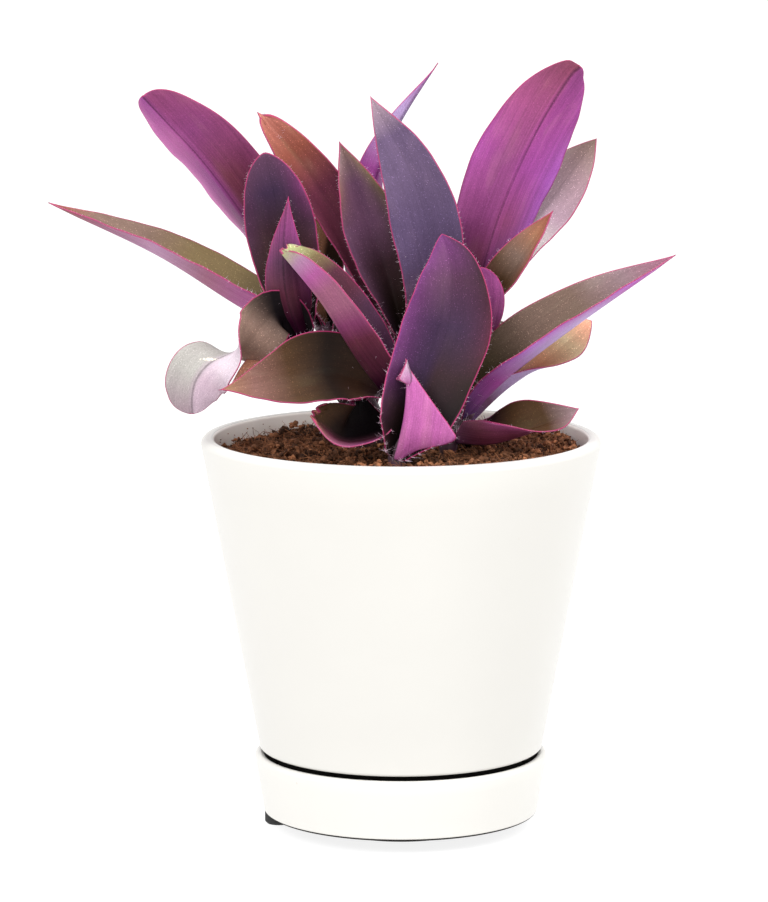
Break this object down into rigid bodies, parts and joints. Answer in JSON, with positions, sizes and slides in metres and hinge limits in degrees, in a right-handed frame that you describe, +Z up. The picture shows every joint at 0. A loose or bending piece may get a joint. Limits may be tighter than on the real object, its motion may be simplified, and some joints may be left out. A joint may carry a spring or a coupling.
{
  "type": "potted tradescantia",
  "caption": "Purple tradescantia with pointed violet, magenta and olive leaves, in soil in a tapered white glazed pot that stands in a matching saucer on rubber feet.",
  "frame": {"origin": "centre of the saucer's foot disc, on the pot's axis and on the surface that the plant stands on", "axes": "+Z up along the pot's axis, -Y towards the side in the picture, +X to that viewer's right"},
  "size_m": [0.2035, 0.13, 0.2508],
  "materials": {
    "glaze": "smooth satin white glaze",
    "pad_rubber": "matt black",
    "soil": "loose crumbly brown peat",
    "leaf": "satin purple leaf with pink edges"
  },
  "bodies": {
    "root": {"saucer": "glaze", "pot": "glaze", "rubber_pad_1": "pad_rubber", "rubber_pad_2": "pad_rubber", "rubber_pad_3": "pad_rubber", "soil": "soil", "leafy_stem_front": "leaf", "leafy_stem_left": "leaf", "leafy_stem_back_left": "leaf", "leafy_stem_centre": "leaf", "leafy_stem_right": "leaf", "leafy_stem_low_right": "leaf"}
  },
  "joints": []
}
